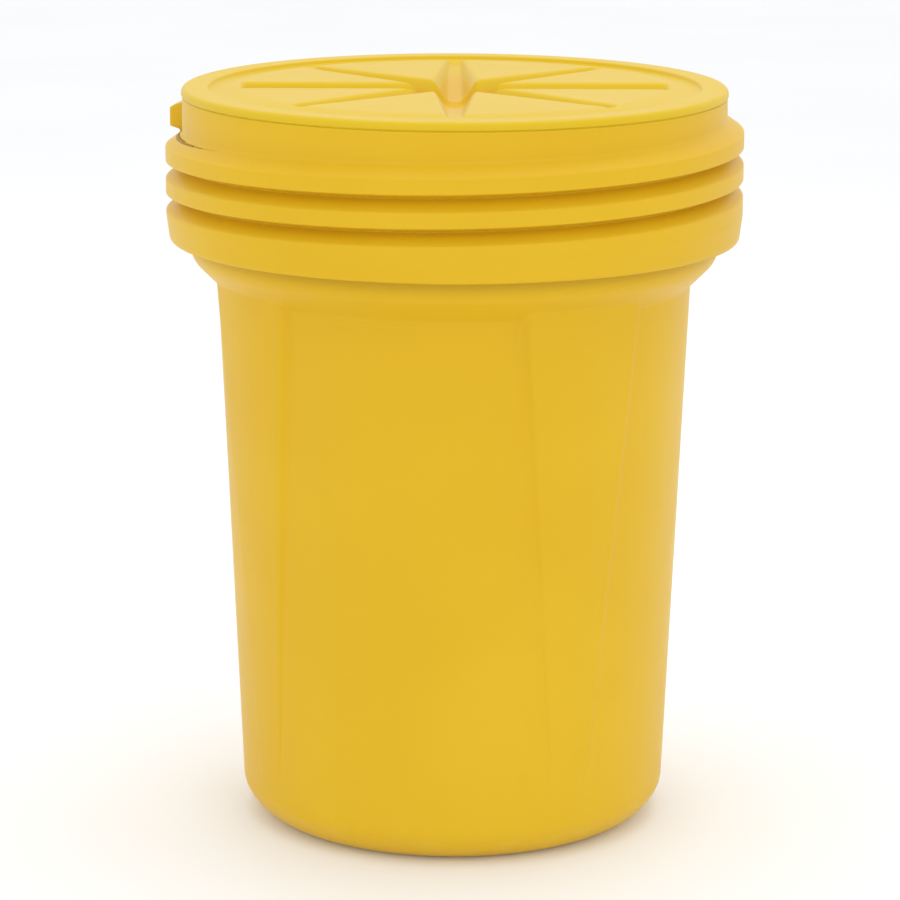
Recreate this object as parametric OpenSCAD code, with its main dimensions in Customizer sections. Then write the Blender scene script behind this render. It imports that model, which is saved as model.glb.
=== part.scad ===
// Overpack salvage drum: a tapered open-head drum, a screw lid and the ring gasket between them.
// Origin at the middle of the base, +Z up, front of the drum towards -Y.

/* [Overall] */
// Height from the floor to the lid's rim
overall_h = 727; // [600:1:880]
// Height of the lid from its trimmed lower edge to its rim
lid_h = 146; // [125:1:180]
// Wall of the moulded drum and lid
wall = 4.2; // [3.2:0.1:5.2]

/* [Drum] */
// Radius of the threaded neck, which the body and the lid follow
neck_r = 258; // [210:0.5:312]
// Distance that the neck stands out beyond the upper end of the body
shoulder_w = 26.6; // [20:0.2:40]
// Growth of the body's radius from the floor to the shoulder
body_taper = 22.8; // [0:0.2:40]
// Radius of the rounded corner between body and base
corner_r = 37; // [20:1:44]
// Width of the flat standing ring
foot_ring_w = 22; // [12:1:60]
// Height of the raised middle of the base
base_rise = 5; // [2:0.5:8]
// Width of the slope between the standing ring and the raised middle
base_taper = 10; // [4:1:20]
// Radius of the round between shoulder and neck
shoulder_round = 24; // [12:1:40]
// Depth of the neck's lower end below the lid's lower edge
neck_drop = 8; // [5:1:25]
// Width of the lip around the open mouth
lip_w = 15; // [11:0.5:30]

/* [Body ribs] */
// Direction of the first rib, from the front towards +X
rib_angle = 32; // [0:1:90]
// Height that the ribs stand proud at their upper ends
rib_proud = 7; // [3:0.5:9]
// Half of a rib's width at the shoulder
rib_top_half = 67; // [30:1:82]
// Half of a rib's width at its foot
rib_foot_half = 17; // [12:1:28]
// Height of the ribs' feet above the floor
rib_foot_z = 45; // [38:1:120]

/* [Lid] */
// Gap between the neck and the inside of the lid's skirt
neck_clear = 2.2; // [1:0.2:5]
// Distance that the thread's crest stands out from the lid's skirt
thread_out = 16.6; // [14:0.2:20]
// Distance that the trimmed lower edge lies inside the thread's crest
foot_in = 3; // [1:0.5:5]
// Height of the bevel from the trimmed lower edge out to the crest
foot_taper_h = 24; // [15:1:40]
// Depth of the bead around the rim
bead_h = 9.5; // [6:0.5:14]
// Distance that the bead overhangs the skirt
bead_over = 0.9; // [0.4:0.1:3]
// Rounding of the rim's outer edge
bead_round = 6; // [2:0.5:6]
// Width of the flat rim band
rim_band = 26; // [24:0.5:40]
// Depth of the recessed panel below the rim
recess = 4; // [2:0.5:8]
// Rise of the panel's middle above its edge
crown = 4; // [0:0.5:4]
// Width of the slope from the panel's edge up to its middle
crown_run = 34; // [20:1:60]

/* [Thread] */
// Rise of the thread in one turn
pitch = 31; // [26:0.5:38]
// Height of the thread's flat crest on the lid
crest_h = 14.5; // [10:0.5:17]
// Drop of the thread's underside from crest to root
under_drop = 5; // [2:0.5:8]
// Height of the plain skirt between the thread's upper end and the bead
skirt_plain = 5.3; // [2:0.1:14]
// Height of the lid's lower edge band under the beginning of the groove
low_band = 19.4; // [16:0.2:30]
// Direction of the thread's blunt upper end, anticlockwise from +X
lug_angle = 175; // [120:1:240]
// Clearance between the drum's thread and the lid
thread_gap = 1.8; // [1:0.1:3]
// Turns of thread on the neck
neck_turns = 1.9; // [1.5:0.1:2]
// Angle from the lid's blunt thread end back to the upper end of the neck's thread
neck_lead = 105; // [90:5:150]

/* [Panel relief] */
// Radius of the sunk hub
hub_r = 48; // [35:1:60]
// Depth of the sunk hub below the panel
hub_depth = 22; // [10:1:28]
// Distance from the outer ends of the channels to the rim band
channel_margin = 31.3; // [20:0.1:80]
// Half of the width of the two straight channels
bar_half = 22; // [10:1:24]
// Depth of the two straight channels
bar_depth = 6; // [3:0.5:12]
// Half of the width of the front and back channels at the hub
cross_half = 20; // [10:1:24]
// Half of the width of the diagonal channels at the hub
diag_half = 15; // [8:1:18]
// Share of a tapering channel's width that is left at its outer end
tip_share = 0.4; // [0.25:0.05:0.7]
// Depth of the tapering channels at their outer ends
tip_depth = 4; // [2:0.5:6]
// Step from the tapering channels down to the hub's floor
hub_step = 3; // [2:0.5:6]
// Width of a channel's floor as a share of its width at the top
floor_share = 0.45; // [0.3:0.05:0.8]

/* [Gasket] */
// Thickness of the gasket
gasket_t = 5; // [3:0.5:8]
// Width of the gasket
gasket_w = 12.6; // [8:0.2:16]
// Gap between the gasket's inner edge and the step under the rim band
gasket_clear = 0.9; // [0.3:0.1:2]
// Gap above and below the gasket
seat_gap = 0.3; // [0.1:0.1:0.5]

/* [Hidden] */
$fn = 96;
eps = 1;
turn = 360;
// Steps of the helical sections
step = 6;

lid_z = overall_h - lid_h;
body_top_r = neck_r - shoulder_w;
base_r = body_top_r - body_taper;
mouth_r = neck_r - lip_w;
skirt_r = neck_r + neck_clear + wall;
crest_r = skirt_r + thread_out;
lid_foot_r = crest_r - foot_in;
rim_in_r = skirt_r + bead_over - rim_band;
channel_end = rim_in_r - channel_margin;
skirt_in_r = skirt_r - wall;
// Root of the lid's helical cuts, a little outside the plain skirt above them
root_r = skirt_r + 0.6;
panel_z = overall_h - recess;
neck_z = lid_z - neck_drop;
gasket_z = overall_h - wall - seat_gap - gasket_t;
neck_top = gasket_z - seat_gap;
gasket_in_r = rim_in_r + wall + gasket_clear;
gasket_out_r = gasket_in_r + gasket_w;
lug_a = lug_angle + turn;
flank_rise = pitch - crest_h - under_drop;
flank_run = crest_r - root_r;
// Plain bore at the lid's foot, under the inside of the thread
bore_h = 13;
bore_z = lid_z + bore_h;

// Height of the crest's lower edge at angle a, which grows along the thread
cap_z = overall_h - bead_h - skirt_plain;
lug_z = cap_z - flank_rise - crest_h;
function edge_z(a) = lug_z + pitch * (a - lug_a) / turn;
// Angle at which the groove begins, one turn above the lower edge band
groove_low = lug_a - turn * (lug_z - lid_z - low_band - pitch + crest_h) / pitch;
// Reach of the cutters beyond the crest
reach = 3;

// Flanks of the thread moved inwards by d, as heights above the crest's lower edge at radius r
under_slope = under_drop / flank_run;
over_slope = flank_rise / flank_run;
function under_at(r, d) = d * sqrt(1 + pow(under_slope, 2)) - (crest_r - r) * under_slope;
function over_at(r, d) = crest_h - d * sqrt(1 + pow(over_slope, 2)) + (crest_r - r) * over_slope;

// Section of a ridge from radius r_in to r_out, with flanks that lie d inside the lid's outer thread
function ridge(a, d, r_in, r_out) = [
    [r_in, edge_z(a) + under_at(r_in, d)],
    [r_out, edge_z(a) + under_at(r_out, d)],
    [r_out, edge_z(a) + over_at(r_out, d)],
    [r_in, edge_z(a) + over_at(r_in, d)]
];

// Angles from a to b in even steps close to the given one
function angles(a, b) = let (n = ceil((b - a) / step)) [for (i = [0:n]) a + (b - a) * i / n];

function at_angle(a, pts) = [for (p = pts) [p[0] * cos(a), p[0] * sin(a), p[1]]];

// Solid between a list of sections, each turned to its own angle
module helix(list, sections) {
    n = len(sections[0]);
    last = len(list) - 1;
    points = [for (i = [0:last]) each at_angle(list[i], sections[i])];
    sides = [for (i = [0:last - 1], j = [0:n - 1])
        [i * n + j, i * n + (j + 1) % n, (i + 1) * n + (j + 1) % n, (i + 1) * n + j]];
    start = [for (j = [n - 1:-1:0]) j];
    end = [for (j = [0:n - 1]) last * n + j];
    polyhedron(points, concat(sides, [start, end]), convexity = 6);
}

// Straight channel along +X that tapers from its inner to its outer end, grown by t on its floor and sides
module channel(x0, x1, half0, half1, depth0, depth1, top, t) {
    function frame(x, half, depth) = [
        [x, -half - t, top], [x, -floor_share * half - t, panel_z - depth - t],
        [x, floor_share * half + t, panel_z - depth - t], [x, half + t, top]
    ];
    polyhedron(
        concat(frame(x0 - t, half0, depth0), frame(x1 + t, half1, depth1)),
        [[0, 1, 2, 3], [7, 6, 5, 4], [0, 4, 5, 1], [1, 5, 6, 2], [2, 6, 7, 3], [3, 7, 4, 0]],
        convexity = 2
    );
}

// The eight channels of the panel; the front and back pair and the four diagonals get shallower outwards
module channels(top, t) {
    inner = hub_r / 2;
    inner_depth = hub_depth - hub_step;
    for (a = [0, 180]) rotate([0, 0, a])
        channel(inner, channel_end, bar_half, bar_half, bar_depth, bar_depth, top, t);
    for (a = [90, 270]) rotate([0, 0, a])
        channel(inner, channel_end, cross_half, tip_share * cross_half, inner_depth, tip_depth, top, t);
    for (a = [45:90:315]) rotate([0, 0, a])
        channel(inner, channel_end, diag_half, tip_share * diag_half, inner_depth, tip_depth, top, t);
}

function arc(cx, cz, r, a0, a1) = [for (i = [0:8]) let (a = a0 + (a1 - a0) * i / 8)
    [cx + r * cos(a), cz + r * sin(a)]];

// Shoulder: a 45 degree cone, then a round that runs into the upright neck. The body tapers down from it.
cone_run = neck_r - body_top_r - shoulder_round * (1 - cos(45));
body_top_z = neck_z - cone_run - shoulder_round * sin(45);
body_slope = (body_top_r - base_r) / body_top_z;
function body_r(z) = base_r + body_slope * z;
foot_inner_r = body_r(corner_r) - corner_r - foot_ring_w;

// Outline of the drum from the axis outwards and up, moved inwards by t
module drum_outline(t, floor_z, top_z) {
    polygon(concat(
        [[0, floor_z + base_rise], [foot_inner_r - base_taper, floor_z + base_rise], [foot_inner_r, floor_z]],
        arc(body_r(corner_r) - corner_r, corner_r, corner_r - t, -90, 0),
        [[body_top_r - t, body_top_z + t * tan(22.5)]],
        arc(neck_r - shoulder_round, neck_z, shoulder_round - t, -45, 0),
        [[neck_r - t, top_z], [0, top_z]]
    ));
}

// Body outline raised by the ribs' height, which grows from their feet to the shoulder
module rib_outline(t) {
    top_z = body_top_z + rib_proud + wall;
    polygon([
        [base_r / 2, rib_foot_z], [body_r(rib_foot_z) - t, rib_foot_z],
        [body_r(top_z) + rib_proud - t, top_z - t], [base_r / 2, top_z - t]
    ]);
}

// Wedge that one rib is cut from, pointing down, with sides that slope at 45 degrees
module rib_wedge(t) {
    deep = 2 * rib_proud;
    top_z = body_top_z + 3 * rib_proud;
    top_r = body_r(body_top_z);
    foot_r = body_r(rib_foot_z);
    over = rib_proud + eps;
    function row(r, half, z) = [
        [r - deep, half + deep - t, z], [r - deep, t - half - deep, z],
        [r + over, t + over - half, z], [r + over, half - over - t, z]
    ];
    polyhedron(
        concat(row(foot_r, rib_foot_half, rib_foot_z - eps), row(top_r, rib_top_half, top_z)),
        [[0, 1, 2, 3], [7, 6, 5, 4], [0, 4, 5, 1], [1, 5, 6, 2], [2, 6, 7, 3], [3, 7, 4, 0]],
        convexity = 2
    );
}

module ribs(t) {
    intersection() {
        rotate_extrude() rib_outline(t);
        for (k = [0:3]) rotate([0, 0, rib_angle - 90 + 90 * k]) rib_wedge(t * tan(22.5));
    }
}

// Ends of the neck's thread, and its crest, which passes through the lid's narrow foot
neck_hi = lug_a - neck_lead;
neck_lo = neck_hi - neck_turns * turn;
neck_crest_r = lid_foot_r - wall - thread_gap;

// The thread on the neck, or with t the hollow behind its wall
module neck_thread(t, r_in) {
    end_wall = t * turn / (2 * PI * neck_r);
    list = angles(neck_lo + end_wall, neck_hi - end_wall);
    helix(list, [for (a = list) ridge(a, wall + thread_gap + t, r_in, neck_crest_r - t)]);
}

module drum() {
    color([0.89, 0.71, 0.14])
    difference() {
        union() {
            rotate_extrude() drum_outline(0, 0, neck_top);
            ribs(0);
            neck_thread(0, neck_r - wall / 2);
        }
        rotate_extrude() drum_outline(wall, wall, neck_top - wall);
        ribs(wall);
        translate([0, 0, neck_top - 2 * wall]) cylinder(h = 4 * wall, r = mouth_r);
        neck_thread(wall, neck_r - 1.5 * wall);
    }
}

module lid_gasket() {
    color([0.13, 0.13, 0.14])
    translate([0, 0, gasket_z])
    difference() {
        cylinder(h = gasket_t, r = gasket_out_r);
        translate([0, 0, -eps]) cylinder(h = gasket_t + 2 * eps, r = gasket_in_r);
    }
}

// Crowned panel inside the rim, from its edge to the axis, moved down by t
rim_step = 2;
crown_share = 0.9;
function panel_points(t) = [
    [rim_in_r + t, overall_h - t], [rim_in_r - rim_step + t, panel_z - t],
    [rim_in_r - crown_run, panel_z + crown_share * crown - t], [0, panel_z + crown - t]
];

module lid_outline() {
    polygon(concat(
        [[0, lid_z], [lid_foot_r, lid_z], [crest_r, lid_z + foot_taper_h], [crest_r, cap_z], [skirt_r, cap_z],
         [skirt_r, overall_h - bead_h], [skirt_r + bead_over, overall_h - bead_h + bead_over]],
        arc(skirt_r + bead_over - bead_round, overall_h - bead_round, bead_round, 0, 90),
        panel_points(0)
    ));
}

module lid_cavity() {
    taper = (crest_r - lid_foot_r) / foot_taper_h;
    polygon(concat(
        [[0, lid_z - eps], [lid_foot_r - wall - eps * taper, lid_z - eps],
         [lid_foot_r - wall + bore_h * taper, bore_z], [skirt_in_r, bore_z], [skirt_in_r, overall_h - wall]],
        panel_points(wall)
    ));
}

// Outside of the thread: the groove between its turns, and the space above its last turn
far_r = crest_r + reach;
function over_edge(a) = [far_r, edge_z(a) + crest_h - reach * over_slope];
function over_root(a) = [root_r, edge_z(a) + crest_h + flank_rise];

module thread_groove() {
    list = angles(groove_low, lug_a + 1);
    helix(list, [for (a = list) [
        over_root(a - turn) - [0, eps], over_edge(a - turn), [far_r, edge_z(a) + reach * under_slope],
        [root_r, edge_z(a) - under_drop + eps]
    ]]);
}

module thread_top() {
    list = angles(lug_angle, lug_a - 2);
    helix(list, [for (a = list) [over_root(a), over_edge(a), [far_r, cap_z + eps], [root_r, cap_z + eps]]]);
}

// Inside of the thread, open down to the lid's foot on its lowest turn. The first stretch of that turn
// is a cutter of its own, a little shallower where it joins the rest.
module thread_hollow() {
    start = groove_low - turn;
    start_gap = 30;
    overlap = 3;
    shallower = 0.2;
    end_wall = wall * turn / (2 * PI * crest_r);
    function section(a, t) = ridge(a, t, skirt_in_r - eps, crest_r - t);
    function opened(s) = [[s[0][0], bore_z - eps], [s[1][0], bore_z - eps], s[2], s[3]];
    plain = angles(start + start_gap, groove_low - 2);
    list = concat(plain, angles(groove_low - 1, lug_a - end_wall));
    helix(list, [for (a = list) a < groove_low - 1.5 ? opened(section(a, wall)) : section(a, wall)]);
    first = angles(start - overlap, start + start_gap + overlap);
    helix(first, [for (a = first) opened(section(a, wall + shallower))]);
}

module screw_lid() {
    shell_z = panel_z - hub_depth - wall;
    shell_h = hub_depth + wall;
    color([0.93, 0.76, 0.17])
    difference() {
        union() {
            difference() {
                rotate_extrude() lid_outline();
                rotate_extrude() lid_cavity();
                thread_groove();
                thread_top();
                thread_hollow();
            }
            intersection() {
                translate([0, 0, shell_z]) cylinder(h = shell_h, r = rim_in_r - rim_step - eps);
                union() {
                    channels(panel_z, wall);
                    translate([0, 0, shell_z]) cylinder(h = shell_h, r = hub_r + wall);
                }
            }
        }
        channels(panel_z + crown + eps, 0);
        translate([0, 0, panel_z - hub_depth]) cylinder(h = hub_depth + 2 * recess, r = hub_r);
    }
}

drum();
lid_gasket();
screw_lid();
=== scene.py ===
import math

import bmesh
import bpy
from mathutils import Euler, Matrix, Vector


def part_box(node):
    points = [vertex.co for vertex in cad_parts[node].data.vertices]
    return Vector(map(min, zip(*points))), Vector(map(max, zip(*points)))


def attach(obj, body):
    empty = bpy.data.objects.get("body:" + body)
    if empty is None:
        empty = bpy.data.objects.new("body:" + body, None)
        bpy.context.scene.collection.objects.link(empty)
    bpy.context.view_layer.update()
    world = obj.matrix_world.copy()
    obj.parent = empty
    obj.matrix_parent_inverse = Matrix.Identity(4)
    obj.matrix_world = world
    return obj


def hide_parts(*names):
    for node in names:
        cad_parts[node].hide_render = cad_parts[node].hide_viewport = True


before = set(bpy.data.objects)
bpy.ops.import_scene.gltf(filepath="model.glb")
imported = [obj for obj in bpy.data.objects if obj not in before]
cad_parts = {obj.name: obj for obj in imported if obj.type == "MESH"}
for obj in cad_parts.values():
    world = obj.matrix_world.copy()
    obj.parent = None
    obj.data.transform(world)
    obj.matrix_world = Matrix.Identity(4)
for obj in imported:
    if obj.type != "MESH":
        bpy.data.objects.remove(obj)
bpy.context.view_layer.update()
lidLow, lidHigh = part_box("screw_lid")
sealLow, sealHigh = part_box("lid_gasket")
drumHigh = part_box("drum")[1]
mm = 0.001
print("frame loaded,", len(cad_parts), "CAD nodes")


# Small shape helpers. Lengths are millimetres, angles degrees anticlockwise from +X.
def soft(x, f):
    # a slope that starts at zero with a round of half-width f
    if x <= -f:
        return 0.0
    if x >= f:
        return x
    return (x + f) ** 2 / (4 * f)


def softMin(a, b, f):
    return a - soft(a - b, f)


def softMax(a, b, f):
    return a + soft(b - a, f)


def clamp(x, low=0.0, high=1.0):
    return max(low, min(high, x))


def ease(x):
    x = clamp(x)
    return x * x * (3 - 2 * x)


def mix(a, b, t):
    return a + (b - a) * t


def polar(angle, r, z):
    a = math.radians(angle)
    return (r * math.cos(a), r * math.sin(a), z)


def arcPoints(cx, cz, r, first, last, steps):
    found = []
    for i in range(steps + 1):
        a = math.radians(mix(first, last, i / steps))
        found.append((cx + r * math.cos(a), cz + r * math.sin(a)))
    return found


class Skin:
    # a closed wall made of rings, each run from outside bottom over the top to the inside

    def __init__(self):
        self.points = []
        self.faces = []

    def row(self, points):
        start = len(self.points)
        self.points.extend(points)
        return list(range(start, len(self.points)))

    def ring(self, angles, r, z):
        return self.row([polar(a, r, z) for a in angles])

    def band(self, low, high):
        count = len(low)
        for j in range(count):
            k = (j + 1) % count
            self.faces.append((low[j], low[k], high[k], high[j]))

    def bands(self, rows):
        for low, high in zip(rows, rows[1:]):
            self.band(low, high)

    def helix(self, angles, thread, low, high, steps, radius, downward=False):
        # rows climb with the thread from the first angle on, and are cut off level at low and high
        first = math.floor((low - thread.edge(angles[0]) - steps[0]) / thread.pitch) - 2
        turns = math.ceil((high - low) / thread.pitch) + 4
        grid = []
        for angle in angles:
            line = []
            for k in range(first, first + turns):
                for s in steps:
                    z = clamp(thread.edge(angle + 360 * k) + s, low, high)
                    line.append(polar(angle, radius(angle, z), z))
            grid.append(self.row(line))
        count = len(grid[0])
        for j, left in enumerate(grid):
            last = j == len(grid) - 1
            right = grid[0] if last else grid[j + 1]
            shift = len(steps) if last else 0
            for i in range(count - 1):
                a = min(i + shift, count - 1)
                b = min(i + 1 + shift, count - 1)
                face = (left[i], right[a], right[b], left[i + 1])
                self.faces.append(face[::-1] if downward else face)

    def build(self, name):
        mesh = bpy.data.meshes.new(name)
        mesh.from_pydata([(x * mm, y * mm, z * mm) for x, y, z in self.points], [], self.faces)
        work = bmesh.new()
        work.from_mesh(mesh)
        bmesh.ops.remove_doubles(work, verts=work.verts, dist=0.00001)
        flat = [f for f in work.faces if f.calc_area() < 1e-12]
        bmesh.ops.delete(work, geom=flat, context="FACES_ONLY")
        loose = [v for v in work.verts if not v.link_faces]
        bmesh.ops.delete(work, geom=loose, context="VERTS")
        for face in work.faces:
            face.smooth = True
        work.to_mesh(mesh)
        work.free()
        piece = bpy.data.objects.new(name, mesh)
        bpy.context.scene.collection.objects.link(piece)
        print(name, len(mesh.vertices), "points,", len(mesh.polygons), "faces")
        return piece


# The screw thread, shared by the lid's outside and inside and by the drum's neck
thread = {
    "pitch": 31.0,
    "edgeDepth": 63.6,  # crest's lower edge below the rim, at the front
    "crestHeight": 14.5,
    "crestAtEnd": 19.0,
    "underDrop": 5.0,
    "topDrop": 11.5,
    "topDropAtEnd": 5.5,
    "grooveStart": -270.0,
    "lug": 535.0,  # blunt upper end of the lid's ridge
    "lugLift": -3.5,
    "neckStart": -254.0,
    "neckEnd": 430.0,
    "neckClearance": 6.0,  # wall and gap between the lid's ridge and the neck's
}


class Thread:
    def __init__(self, sizes, rim, crest, depth):
        self.pitch = sizes["pitch"]
        self.sizes = sizes
        self.rim = rim
        self.crest = crest
        self.depth = depth

    def edge(self, a):
        s = self.sizes
        z = self.rim - s["edgeDepth"] + s["pitch"] * (a - 270) / 360
        if a > 400:
            turn = a % 360
            z += s["lugLift"] * ease((turn - 145) / 30) * ease((225 - turn) / 35)
        return z

    def lidRadius(self, angle, z, wall, rounding):
        # the lid's outside, or with a wall its inside
        s = self.sizes
        a = angle - 360 if angle >= 90 else angle
        deepest = 0.0
        while a < s["lug"] + 360:
            drop = mix(s["topDrop"], s["topDropAtEnd"], ease((a - 360 - 490) / 40))
            lowSlope = self.depth / drop
            topSlope = self.depth / s["underDrop"]
            crest = mix(s["crestHeight"], s["crestAtEnd"], ease((a - 360 - 505) / 20))
            rise = (z - self.edge(a - 360) - crest) * lowSlope
            rise += wall * (math.hypot(1, lowSlope) - 1)
            deep = soft(rise, rounding)
            deep = softMin(deep, self.depth, 2.5)
            fall = (self.edge(a) - z) * topSlope + wall * (math.hypot(1, topSlope) - 1)
            there = ease((s["lug"] - a) / 1.0)
            if there > 0:
                deep = mix(deep, max(0.0, softMin(deep, soft(fall, rounding), 1.5)), there)
            deep *= ease((a - s["grooveStart"]) / 5)
            deepest = max(deepest, deep)
            a += 360
        return self.crest - wall - deepest

    def neckRadius(self, angle, z, root, rise):
        s = self.sizes
        under = s["underDrop"] / self.depth
        over = s["topDrop"] / self.depth
        d = s["neckClearance"]
        a = angle - 360 if angle >= 90 else angle
        best = 0.0
        while a < s["neckEnd"]:
            e = self.rim - s["edgeDepth"] + s["pitch"] * (a - 270) / 360
            low = e + d * math.hypot(1, under) - (self.crest - root) * under
            high = e + s["crestHeight"] - d * math.hypot(1, over) + (self.crest - root) * over
            up = softMin((z - low) / under, (high - z) / over, 1.5)
            up = softMin(soft(up, 1.5), rise, 1.5)
            there = ease((a - s["neckStart"]) / 1.5) * ease((s["neckEnd"] - a) / 1.5)
            best = max(best, up * there)
            a += 360
        return root + best


lidRim = lidHigh.z / mm
lidThread = Thread(thread, lidRim, lidHigh.x / mm, 16.4)
threadRows = [-5.6, -4.9, -4.2, -3.2, -2.2, -1.2, -0.7, -0.3, 0.1, 0.5, 1.0, 2.5, 5.0, 8.0, 11.0, 13.0,
              13.8, 14.4, 15.0, 15.6, 16.4, 18.0, 20.0, 22.0, 23.6, 24.6]


# Sunk star of the lid's panel: channels run out from the hub along these directions
relief = {
    "recess": 4.0,
    "crown": 3.9,
    "crownEdge": 235.0,
    "crownRun": 36.0,
    "hubRadius": 48.0,
    "hubDepth": 25.5,
    "hubSlope": 2.2,
    "wallSlope": 1.5,
    "edgeRound": 4.5,
    "floorRound": 7.0,
    "joinRound": 4.0,
    "endSlope": 0.9,
    "bar": {"half": (22.5, 22.5), "depth": (9.0, 9.0), "end": 208.0},
    "back": {"half": (21.5, 8.5), "depth": (21.0, 4.0), "end": 216.0},
    "front": {"half": (19.5, 8.5), "depth": (17.0, 4.0), "end": 214.0},
    "arm": {"half": (16.0, 7.5), "depth": (20.0, 4.0), "end": 208.0},
}
channelKinds = ["bar", "arm", "back", "arm", "bar", "arm", "front", "arm"]


def channelAt(kind, u):
    # half-width and depth of a channel at the distance u from the axis
    sizes = relief[kind]
    t = clamp((u - relief["hubRadius"]) / (sizes["end"] - relief["hubRadius"]))
    return mix(*sizes["half"], t), mix(*sizes["depth"], t)


def sunk(x, y):
    # depth of the relief under the crowned panel
    total = 0.0
    for k, kind in enumerate(channelKinds):
        a = math.radians(45 * k)
        u = x * math.cos(a) + y * math.sin(a)
        if u <= 0:
            continue
        v = abs(y * math.cos(a) - x * math.sin(a))
        half, depth = channelAt(kind, u)
        side = (half - v) * relief["wallSlope"]
        if side < -30:
            continue
        slope = relief["wallSlope"] if kind == "bar" else relief["endSlope"]
        fall = softMin(side, (relief[kind]["end"] - u) * slope, 3.0)
        rounding = min(relief["edgeRound"], 0.6 * depth)
        floorRound = min(relief["floorRound"], 0.4 * depth)
        found = softMin(soft(fall, rounding), depth, floorRound)
        total = softMax(total, found, min(1.2, 0.3 * found + 0.01))
    r = math.hypot(x, y)
    hub = softMin(soft((relief["hubRadius"] - r) * relief["hubSlope"], relief["edgeRound"]),
                  relief["hubDepth"], relief["floorRound"])
    return softMax(total, hub, min(relief["joinRound"], 0.4 * hub + 0.01))


def panelHeight(x, y):
    r = math.hypot(x, y)
    crown = relief["crown"] * ease((relief["crownEdge"] - r) / relief["crownRun"])
    return lidRim - relief["recess"] + crown - sunk(x, y)


# Angles of the lid's columns: close together along the channels' floors, walls and edges
channelColumns = [0, 1.6, 2.8, 3.25, 3.6, 4.1, 5.0, 5.9, 6.5, 6.9, 7.3, 7.9, 8.8, 10.5, 13, 16, 19.2]


def columnAngle(key, r):
    # where a column runs at radius r; key is its place in the pattern, 7 being a channel's edge
    k = round(key / 45)
    local = key - 45 * k
    kind = channelKinds[k % 8]
    half, depth = channelAt(kind, min(r, relief[kind]["end"]))
    r = max(r, 1.0)
    edge = min(math.degrees(math.asin(min(1.0, half / r))), 18.5)
    inner = max(half - depth / relief["wallSlope"], 0.2 * half)
    floor = min(math.degrees(math.asin(min(1.0, inner / r))), 0.72 * edge)
    a = abs(local)
    if a <= 3.5:
        found = mix(0, floor, a / 3.5)
    elif a <= 7:
        found = mix(floor, edge, (a - 3.5) / 3.5)
    else:
        found = mix(edge, 22.5, (a - 7) / 15.5)
    return 45 * k + math.copysign(found, local)


def lidKeys():
    keys = set()
    for k in range(8):
        for c in channelColumns:
            keys.add(round((45 * k + c) % 360, 4))
            keys.add(round((45 * k - c) % 360, 4))
        keys.add(45 * k + 22.5)
    for i in range(-8, 9):
        keys.add(round(180 - 7 + i * 0.4, 4))  # around the ridge's blunt end
    return sorted(k if k >= 90 else k + 360 for k in keys)


lid = {
    "wall": 4.2,
    "skirtRadius": 264.4,
    "beadRadius": 265.3,
    "beadRound": 5.0,
    "footIn": 3.0,  # how far the trimmed lower edge lies inside the crest
    "footTaper": 24.0,
    "capDepth": 14.8,  # upper end of the thread below the rim
    "capBlend": 8.0,
    "columnRadius": 237.0,
}


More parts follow.
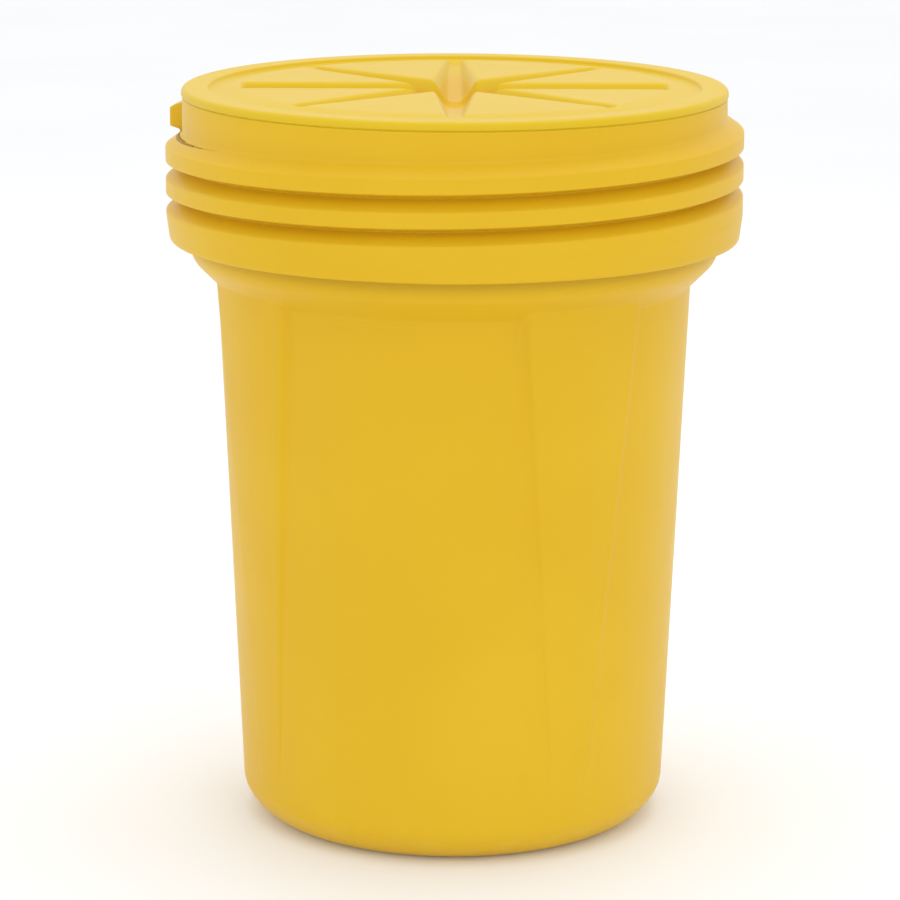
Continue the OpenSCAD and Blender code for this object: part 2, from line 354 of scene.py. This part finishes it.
def makeLid():
    wall = lid["wall"]
    skirt = lid["skirtRadius"]
    bead = lid["beadRadius"]
    foot = lid["footIn"]
    taper = lid["footTaper"]
    blend = lid["capBlend"]
    low = lidLow.z / mm
    cap = lidRim - lid["capDepth"]
    keys = lidKeys()
    angles = [columnAngle(k, lid["columnRadius"]) for k in keys]

    def outside(angle, z):
        r = lidThread.lidRadius(angle, z, 0, 1.5)
        lower = foot * clamp(1 - (z - low) / taper)
        edge = soft(1.0 - (z - low), 1.0) * 0.8
        top = ease((z - cap + blend) / blend)
        return mix(r - lower - edge, skirt, top if r < skirt + 2 else 0)

    def inside(angle, z):
        r = lidThread.lidRadius(angle, z, wall, 1.2)
        lower = foot * clamp(1 - (z - low) / taper)
        top = ease((z - cap + blend) / blend)
        return mix(r - lower, skirt - wall, top if r < skirt - wall + 2 else 0)

    skin = Skin()
    skin.helix(angles, lidThread, low, cap, threadRows, outside)
    rim = lidRim
    profile = [(skirt, cap), (skirt, rim - 9.9), (skirt - 0.1, rim - 9.3), (skirt - 0.7, rim - 8.9),
               (skirt - 1.1, rim - 8.5), (skirt - 0.6, rim - 8.1), (bead - 0.8, rim - 7.9),
               (bead - 0.2, rim - 7.5), (bead, rim - 7.0)]
    turn = lid["beadRound"]
    profile += arcPoints(bead - turn, rim - turn, turn, 0, 90, 9)
    profile += [(255, rim), (249, rim - 0.1), (243, rim), (240.6, rim - 0.05), (239.6, rim - 0.35),
                (239, rim - 1.0), (238.5, rim - 2.2), (238, rim - 3.2), (237.3, rim - 3.75), (236.3, rim - 4)]
    rows = [skin.ring(angles, r, z) for r, z in profile]
    radii = [233, 229, 225, 222.5, 220, 217.5, 215, 212.5, 210.5, 209, 207.5, 206, 204.5, 203, 200,
             195, 189, 182]
    radii += [174 - 9 * i for i in range(12)]
    radii += [68, 63, 59.5, 57, 55, 53.5, 52, 51, 50.2, 49.4, 48.6, 47.8, 47, 46.2, 45.4, 44.6, 43.8,
              43, 42.2, 41.4, 40.4, 39, 37, 34, 30, 25, 19, 12, 6]
    for r in radii:
        line = []
        for key in keys:
            x, y, z = polar(columnAngle(key, r), r, 0)
            line.append((x, y, panelHeight(x, y)))
        rows.append(skin.row(line))
    skin.bands(rows)
    centre = skin.row([(0, 0, panelHeight(0, 0))])[0]
    last = rows[-1]
    for j, a in enumerate(last):
        skin.faces.append((a, last[(j + 1) % len(last)], centre))
    # underside of the panel, gasket seat and inside of the skirt
    centre = skin.row([(0, 0, panelHeight(0, 0) - wall)])[0]
    under = []
    for r in sorted(radii[::2] + [6, 233]):
        line = []
        for key in keys:
            x, y, z = polar(columnAngle(key, r), r, 0)
            line.append((x, y, panelHeight(x, y) - wall))
        under.append(skin.row(line))
    seat = rim - wall
    inner = skirt - wall
    profile = [(236.5, rim - 4 - wall), (238, seat - 2.5), (239.5, seat - 0.4), (241, seat),
               (inner - 2, seat)]
    profile += arcPoints(inner - 1.5, seat - 1.5, 1.5, 90, 0, 3)
    profile += [(inner, cap)]
    under += [skin.ring(angles, r, z) for r, z in profile]
    skin.bands(under)
    first = under[0]
    for j, a in enumerate(first):
        skin.faces.append((first[(j + 1) % len(first)], a, centre))
    skin.helix(angles, lidThread, low, cap, threadRows[::2], inside, downward=True)
    edge = [skin.row([polar(a, inside(a, low), low) for a in angles]),
            skin.row([polar(a, outside(a, low), low) for a in angles])]
    skin.bands(edge)
    return skin.build("lidShell")


# Drum
body = {
    "baseRadius": 208.6,
    "topRadius": 231.4,
    "topHeight": 536.5,
    "corner": 37.0,
    "cornerEase": 5.0,
    "wall": 4.2,
    "pushUp": 5.0,
    "footInner": 151.0,
    "neckRadius": 258.0,
    "neckHeight": 573.0,
    "neckFoot": 577.0,
    "shoulderRound": 24.0,
    "shoulderFillet": 1.2,
    "ribCentre": -58.0,
    "ribProud": 7.4,
    "ribTopHalf": 67.0,
    "ribFootHalf": 17.0,
    "ribFoot": 45.0,
    "ribRound": 1.5,
    "threadRise": 14.0,
    "mouthRadius": 243.0,
}


def bodyRadius(z):
    return body["baseRadius"] + (body["topRadius"] - body["baseRadius"]) * z / body["topHeight"]


def ribHalf(z):
    t = (z - body["ribFoot"]) / (body["topHeight"] - body["ribFoot"])
    return mix(body["ribFootHalf"], body["ribTopHalf"], clamp(t, 0, 1.3))


def ribRise(angle, z):
    local = (angle - body["ribCentre"] + 45) % 90 - 45
    r = bodyRadius(z)
    side = ribHalf(z) - abs(r * math.sin(math.radians(local)))
    proud = body["ribProud"] * clamp((z - body["ribFoot"]) / (body["topHeight"] - body["ribFoot"]), 0, 1.2)
    if proud <= 0:
        return 0.0
    rounding = min(body["ribRound"], 0.5 * proud)
    return max(0.0, softMin(soft(side, rounding), proud, rounding))


def shoulderRadius(z):
    r = body["shoulderRound"]
    centre = body["neckRadius"] - r
    bend = body["neckHeight"] - r * math.sin(math.radians(45))
    if z >= body["neckHeight"]:
        return body["neckRadius"]
    if z >= bend:
        return centre + math.sqrt(r * r - (body["neckHeight"] - z) ** 2)
    return centre + r * math.cos(math.radians(45)) - (bend - z)


def drumRadius(angle, z):
    side = bodyRadius(z) + ribRise(angle, z)
    if z < 500:
        return side
    return softMax(side, shoulderRadius(z), body["shoulderFillet"])


ribColumns = [0, 3, 6, 8.5, 10.5, 12, 13, 13.6, 14.1, 14.6, 15.1, 15.6, 16.1, 16.7, 17.5, 19, 21.5,
              24.5, 28, 31.5, 35, 38.5, 42]


def drumAngle(key, z):
    # columns keep to the ribs' edges as the ribs get narrower
    k = round(key / 90)
    local = key - 90 * k
    edge = math.degrees(math.asin(ribHalf(min(z, body["topHeight"])) / bodyRadius(z)))
    a = abs(local)
    found = mix(0, edge, a / 15.6) if a < 15.6 else mix(edge, 45, (a - 15.6) / 29.4)
    near = clamp(1 - abs(a - 15.6) / 3)
    if near > 0:
        found = mix(found, edge + (a - 15.6), near * 0.8)
    return body["ribCentre"] + 90 * k + math.copysign(found, local)


def makeDrum():
    wall = body["wall"]
    keys = set()
    for k in range(4):
        for c in ribColumns:
            keys.add(round((90 * k + c) % 360, 4))
            keys.add(round((90 * k - c) % 360, 4))
        keys.add(90 * k + 45.0)
    keys = sorted(keys)
    top = body["topHeight"]
    skin = Skin()
    corner = body["corner"]
    cornerRadius = bodyRadius(corner) - corner
    low = body["footInner"]

    def level(z, inset=0.0):
        return skin.row([polar(drumAngle(k, z), drumRadius(drumAngle(k, z), z) - inset, z) for k in keys])

    def plain(r, z):
        return skin.row([polar(drumAngle(k, 40), r, z) for k in keys])

    rows = [plain(r, body["pushUp"]) for r in (20, 60, 100, 130, 137, 139.5)]
    rows += [plain(r, z) for r, z in [(140.8, 4.7), (142, 4.1), (145, 2.6), (148, 1.0), (149.5, 0.35),
                                      (151, 0.05), (153, 0), (160, 0), (165, 0)]]
    for r, z in arcPoints(cornerRadius, corner, corner, -88, -4, 12):
        rows.append(plain(r - body["cornerEase"] * ease(1 - z / corner), z))
    heights = [corner + 2, 44] + [54 + 12.6 * i for i in range(35)]
    heights += [492, 500, 508, 516, 522, 526, 529, 531.5, 533.5, 535, 536, 537, 538, 539, 540, 541,
                542, 543, 544, 545, 546.5, 548.5, 551, 553.5, 556, 558.5, 561, 563.5, 566, 568.5,
                571, 573, body["neckFoot"]]
    rows += [level(z) for z in heights]
    skin.bands(rows)
    centre = skin.row([(0, 0, body["pushUp"])])[0]
    for j, a in enumerate(rows[0]):
        skin.faces.append((rows[0][(j + 1) % len(keys)], a, centre))
    # neck with its thread
    angles = [drumAngle(k, body["neckFoot"]) for k in keys]
    order = sorted(range(len(keys)), key=lambda j: (angles[j] - 90) % 360)
    neckAngles = [90 + (angles[j] - 90) % 360 for j in order]
    neckTop = drumHigh.z / mm

    def neck(angle, z):
        return lidThread.neckRadius(angle, z, body["neckRadius"], body["threadRise"])

    skin.helix(neckAngles, lidThread, body["neckFoot"], neckTop - 5, threadRows, neck)
    r = body["neckRadius"]
    lip = [(r, neckTop - 5)] + arcPoints(r - 2, neckTop - 2, 2, 0, 90, 4)
    lip += [(r - 6, neckTop), (body["mouthRadius"] + 2, neckTop)]
    lip += arcPoints(body["mouthRadius"] + 1.5, neckTop - 1.5, 1.5, 90, 180, 3)
    lip += [(body["mouthRadius"], neckTop - 3), (body["mouthRadius"] + 1, neckTop - wall)]
    lip += [(r - wall - 2, neckTop - wall), (r - wall, neckTop - wall - 2), (r - wall, body["neckFoot"])]
    rows = [skin.row([polar(a, x, z) for a in angles]) for x, z in lip]
    rows += [level(z, wall) for z in heights[::-1][1::2]]
    inner = corner - wall
    for x, z in arcPoints(cornerRadius, corner, inner, -4, -88, 9):
        rows.append(plain(x, z))
    rows += [plain(x, z) for x, z in [(160, wall), (150, wall), (146, wall + 1.5), (140, wall + 4.6),
                                      (134, wall + 5), (80, wall + 5), (20, wall + 5)]]
    skin.bands(rows)
    centre = skin.row([(0, 0, wall + 5)])[0]
    last = rows[-1]
    for j, a in enumerate(last):
        skin.faces.append((a, last[(j + 1) % len(last)], centre))
    return skin.build("drumShell")


def makeGasket():
    low = sealLow.z / mm
    high = sealHigh.z / mm
    outer = sealHigh.x / mm
    inner = outer - 12.6
    middle = (outer + inner) / 2
    face = [(inner + 0.8, 0.35), (middle - 3.4, 0.35), (middle - 2.4, 0), (middle - 1.4, 0.35),
            (middle + 1.4, 0.35), (middle + 2.4, 0), (middle + 3.4, 0.35), (outer - 0.8, 0.35), (outer, 1.1)]
    profile = [(r, low + d) for r, d in face] + [(r, high - d) for r, d in face[::-1]]
    profile += [(inner, high - 1.1), (inner, low + 1.1)]
    skin = Skin()
    angles = [1.5 * i for i in range(240)]
    rows = [skin.ring(angles, r, z) for r, z in profile]
    skin.bands(rows + rows[:1])
    return skin.build("gasketRing")


# Materials: a wire is one socket, and sums on wires add Math nodes
class Wire:
    def __init__(self, paint, socket):
        self.paint = paint
        self.socket = socket

    def __add__(self, other):
        return self.paint.maths("ADD", self, other)

    def __radd__(self, other):
        return self.paint.maths("ADD", other, self)

    def __sub__(self, other):
        return self.paint.maths("SUBTRACT", self, other)

    def __rsub__(self, other):
        return self.paint.maths("SUBTRACT", other, self)

    def __mul__(self, other):
        return self.paint.maths("MULTIPLY", self, other)

    def __rmul__(self, other):
        return self.paint.maths("MULTIPLY", other, self)

    def size(self):
        return self.paint.maths("ABSOLUTE", self, 0)


class Paint:
    def __init__(self, name):
        self.material = bpy.data.materials.new(name)
        self.material.use_nodes = True
        self.tree = self.material.node_tree
        self.tree.nodes.clear()
        self.shader = self.tree.nodes.new("ShaderNodeBsdfPrincipled")
        output = self.tree.nodes.new("ShaderNodeOutputMaterial")
        self.tree.links.new(self.shader.outputs[0], output.inputs[0])

    def plug(self, socket, value):
        if isinstance(value, Wire):
            self.tree.links.new(value.socket, socket)
        else:
            socket.default_value = value

    def add(self, kind, settings, sockets, out=0):
        node = self.tree.nodes.new("ShaderNode" + kind)
        for name, value in settings.items():
            setattr(node, name, value)
        for name, value in sockets.items():
            self.plug(node.inputs[name], value)
        return Wire(self, node.outputs[out])

    def maths(self, operation, a, b):
        return self.add("Math", {"operation": operation}, {0: a, 1: b})

    def between(self, low, high, value):
        # 0 below low, 1 above high, smooth in between
        return self.add("MapRange", {"interpolation_type": "SMOOTHSTEP"},
                        {"Value": value, "From Min": low, "From Max": high})

    def blend(self, amount, a, b):
        return self.add("Mix", {"data_type": "RGBA"}, {0: amount, 6: a, 7: b}, out=2)

    def place(self):
        return self.add("TexCoord", {}, {}, out=3)

    def stretch(self, where, scale, turn=(0.0, 0.0, 0.0)):
        return self.add("Mapping", {}, {"Vector": where, "Scale": scale, "Rotation": turn})

    def noise(self, where, scale, detail=2.0, rough=0.5):
        sizes = {"Vector": where, "Scale": scale, "Detail": detail, "Roughness": rough}
        return self.add("TexNoise", {}, sizes)

    def finish(self, colour, roughness, normal):
        self.plug(self.shader.inputs["Base Color"], colour)
        self.plug(self.shader.inputs["Roughness"], roughness)
        self.plug(self.shader.inputs["Normal"], normal)
        return self.material


plastic = {
    "colour": (0.715, 0.440, 0.0105, 1),
    "deep": (0.675, 0.402, 0.0085, 1),
    "light": (0.750, 0.480, 0.017, 1),
    "scuffed": (0.80, 0.57, 0.10, 1),
    "roughness": 0.40,
    "roughnessSpread": 0.10,
    "grainSize": 1.5 * mm,
    "grain": 0.00004,
    "ripple": 0.0006,
    "dieLines": 0.00005,
}


def mouldedPlastic(name, paintedRimLight):
    p = Paint(name)
    where = p.place()
    split = p.add("SeparateXYZ", {}, {0: where})
    z = Wire(p, split.socket.node.outputs[2])
    y = Wire(p, split.socket.node.outputs[1])
    cloud = p.noise(where, 2.6, 3.0)
    mottle = p.noise(where, 24.0, 3.0, 0.6)
    colour = p.blend(p.between(0.35, 0.65, cloud), plastic["deep"], plastic["light"])
    colour = p.blend(0.55, colour, plastic["colour"])
    colour = p.blend(p.between(0.55, 0.80, mottle) * 0.25, colour, plastic["deep"])
    # fine scratches, two directions, gathered in patches
    patches = p.between(0.52, 0.74, p.noise(where, 7.0, 2.0))
    long = p.noise(p.stretch(where, (90.0, 90.0, 1400.0), (0.5, 0.3, 0.2)), 1.0, 1.0)
    cross = p.noise(p.stretch(where, (1200.0, 1200.0, 60.0), (0.2, 0.35, 0.0)), 1.0, 1.0)
    scratch = (p.between(0.72, 0.76, long) + p.between(0.73, 0.77, cross)) * patches
    low = 1 - p.between(0.0, 0.06, z)
    rub = p.between(0.5, 0.68, p.noise(where, 60.0, 4.0, 0.65)) * low
    colour = p.blend(scratch * 0.30 + rub * 0.25, colour, plastic["scuffed"])
    if paintedRimLight:
        # painted light: the lid's rim band is tinted greener, standing in for the bluish light that falls on
        # it from above
        rim = p.between(lidHigh.z - 0.0115, lidHigh.z - 0.009, z)
        colour = p.blend(rim * 0.6, colour, (0.68, 0.495, 0.014, 1))
    fine = p.noise(where, 1 / plastic["grainSize"], 2.0, 0.5)
    ripple = p.noise(p.stretch(where, (9.0, 9.0, 5.0)), 1.0, 2.0, 0.45)
    lines = p.noise(p.stretch(where, (150.0, 150.0, 1.2)), 1.0, 1.0)
    seam = 1 - p.between(0.0004, 0.0011, y.size())
    height = (fine * plastic["grain"] + ripple * plastic["ripple"] + lines * plastic["dieLines"]
              + seam * 0.00012 - scratch * 0.00003)
    bump = p.add("Bump", {}, {"Strength": 1.0, "Distance": 1.0, "Height": height})
    spread = (mottle - 0.5) * plastic["roughnessSpread"]
    roughness = plastic["roughness"] + spread + scratch * 0.1 + rub * 0.15
    p.shader.inputs["IOR"].default_value = 1.5
    p.shader.inputs["Specular IOR Level"].default_value = 0.2
    return p.finish(colour, roughness, bump)


def rubber():
    p = Paint("gasketRubber")
    where = p.place()
    bloom = p.between(0.45, 0.75, p.noise(where, 35.0, 3.0, 0.6))
    colour = p.blend(bloom * 0.5, (0.018, 0.018, 0.019, 1), (0.055, 0.054, 0.05, 1))
    grain = p.noise(where, 1500.0, 2.0)
    bump = p.add("Bump", {}, {"Strength": 1.0, "Distance": 1.0, "Height": grain * 0.00003})
    return p.finish(colour, 0.62 + bloom * 0.18, bump)


def paleFloor():
    p = Paint("floorPaint")
    where = p.place()
    tone = p.noise(where, 1.5, 3.0)
    colour = p.blend(p.between(0.3, 0.7, tone), (0.90, 0.90, 0.905, 1), (0.92, 0.92, 0.925, 1))
    bump = p.add("Bump", {}, {"Strength": 0.2, "Distance": 1.0, "Height": p.noise(where, 400.0) * 0.0001})
    p.shader.inputs["Emission Color"].default_value = (0.8, 0.9, 1.0, 1)
    p.shader.inputs["Emission Strength"].default_value = 0.06
    return p.finish(colour, 0.65, bump)


drumPlastic = mouldedPlastic("drumPlastic", False)
lidPlastic = mouldedPlastic("lidPlastic", True)
gasketRubber = rubber()
print("materials made")

for piece, node, bodyName, slotName, material in [
    (makeDrum(), "drum", "drum", "drum_plastic", drumPlastic),
    (makeLid(), "screw_lid", "lid", "lid_plastic", lidPlastic),
    (makeGasket(), "lid_gasket", "gasket", "gasket_rubber", gasketRubber),
]:
    piece.data.materials.append(material)
    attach(piece, bodyName)
    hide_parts(node)
print("pieces made")

# Floor, light and camera
studio = {
    "floorSize": 60.0,
    "world": 1.0,
    "aim": (0.0, 0.0, 0.4),
    "lamps": {
        "key": {"power": 15.0, "size": 2.4, "place": (1.6, -3.4, 2.6)},
        "fill": {"power": 6.0, "size": 2.6, "place": (-2.6, -2.6, 1.7)},
        "top": {"power": 19.0, "size": 2.2, "place": (0.2, 0.6, 3.2)},
    },
}


def makeStudio():
    mesh = bpy.data.meshes.new("floor")
    h = studio["floorSize"] / 2
    mesh.from_pydata([(-h, -h, 0), (h, -h, 0), (h, h, 0), (-h, h, 0)], [], [(0, 1, 2, 3)])
    floor = bpy.data.objects.new("floor", mesh)
    bpy.context.scene.collection.objects.link(floor)
    floor.data.materials.append(paleFloor())
    world = bpy.data.worlds.new("studio")
    world.use_nodes = True
    world.node_tree.nodes["Background"].inputs[0].default_value = (1, 1, 1, 1)
    world.node_tree.nodes["Background"].inputs[1].default_value = studio["world"]
    bpy.context.scene.world = world
    for name, sizes in studio["lamps"].items():
        lamp = bpy.data.lights.new(name, "AREA")
        lamp.energy = sizes["power"]
        lamp.size = sizes["size"]
        light = bpy.data.objects.new(name, lamp)
        light.location = sizes["place"]
        aim = Vector(studio["aim"]) - Vector(sizes["place"])
        light.rotation_euler = aim.to_track_quat("-Z", "Y").to_euler()
        bpy.context.scene.collection.objects.link(light)


view = {
    "distance": 3.714,
    "elevation": 12.85,
    "target": (-0.0036, 0.0, 0.3639),
    "lens": 149.76,
    "roll": 0.186,
}


def makeCamera():
    data = bpy.data.cameras.new("camera")
    data.lens = view["lens"]
    data.sensor_width = 36
    camera = bpy.data.objects.new("camera", data)
    e = math.radians(view["elevation"])
    target = Vector(view["target"])
    back = Vector((0, -math.cos(e), math.sin(e)))
    camera.location = target + back * view["distance"]
    roll = Euler((0, 0, math.radians(view["roll"]))).to_matrix()
    turn = (-back).to_track_quat("-Z", "Y").to_matrix() @ roll
    camera.rotation_euler = turn.to_euler()
    bpy.context.scene.collection.objects.link(camera)
    bpy.context.scene.camera = camera
    bpy.context.scene.view_settings.view_transform = "Standard"


makeStudio()
makeCamera()
print("studio made")
